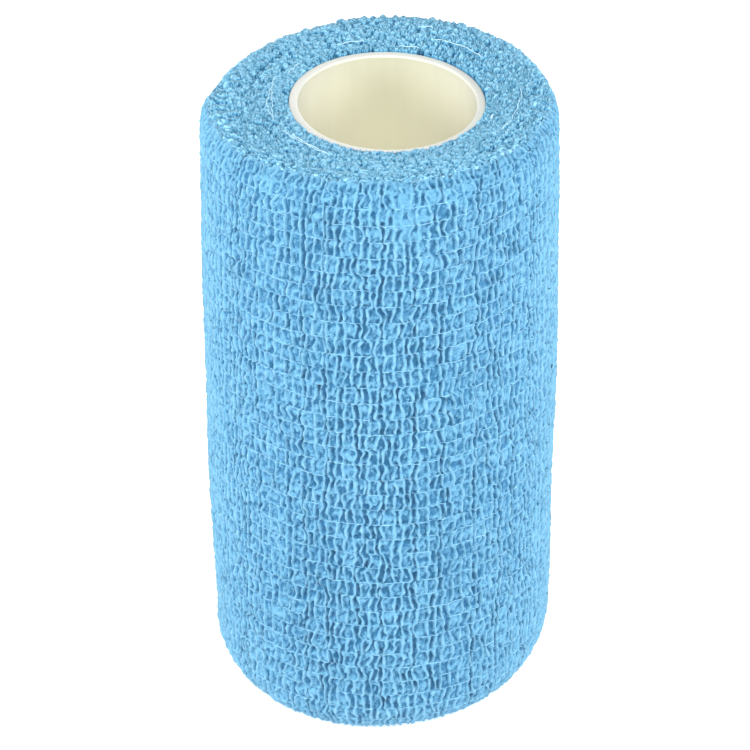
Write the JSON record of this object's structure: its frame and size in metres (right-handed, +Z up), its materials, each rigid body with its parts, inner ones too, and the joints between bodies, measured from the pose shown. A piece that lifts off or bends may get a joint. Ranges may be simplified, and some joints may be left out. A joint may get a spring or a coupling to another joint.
{
  "type": "cohesive bandage roll",
  "caption": "Roll of crepe cohesive bandage wound on an open plastic core and standing on end, for wrapping dressings and joints.",
  "frame": {"origin": "on the floor, under the middle of the roll's outline", "axes": "+Z up along the roll, -Y towards the side seen in the picture, +X to the right"},
  "size_m": [0.0524, 0.0526, 0.101],
  "materials": {
    "crepe": "soft crinkled nonwoven with elastic threads",
    "core": "smooth satin"
  },
  "bodies": {
    "root": {"bandage_roll": "crepe", "core_tube": "core"}
  },
  "joints": []
}
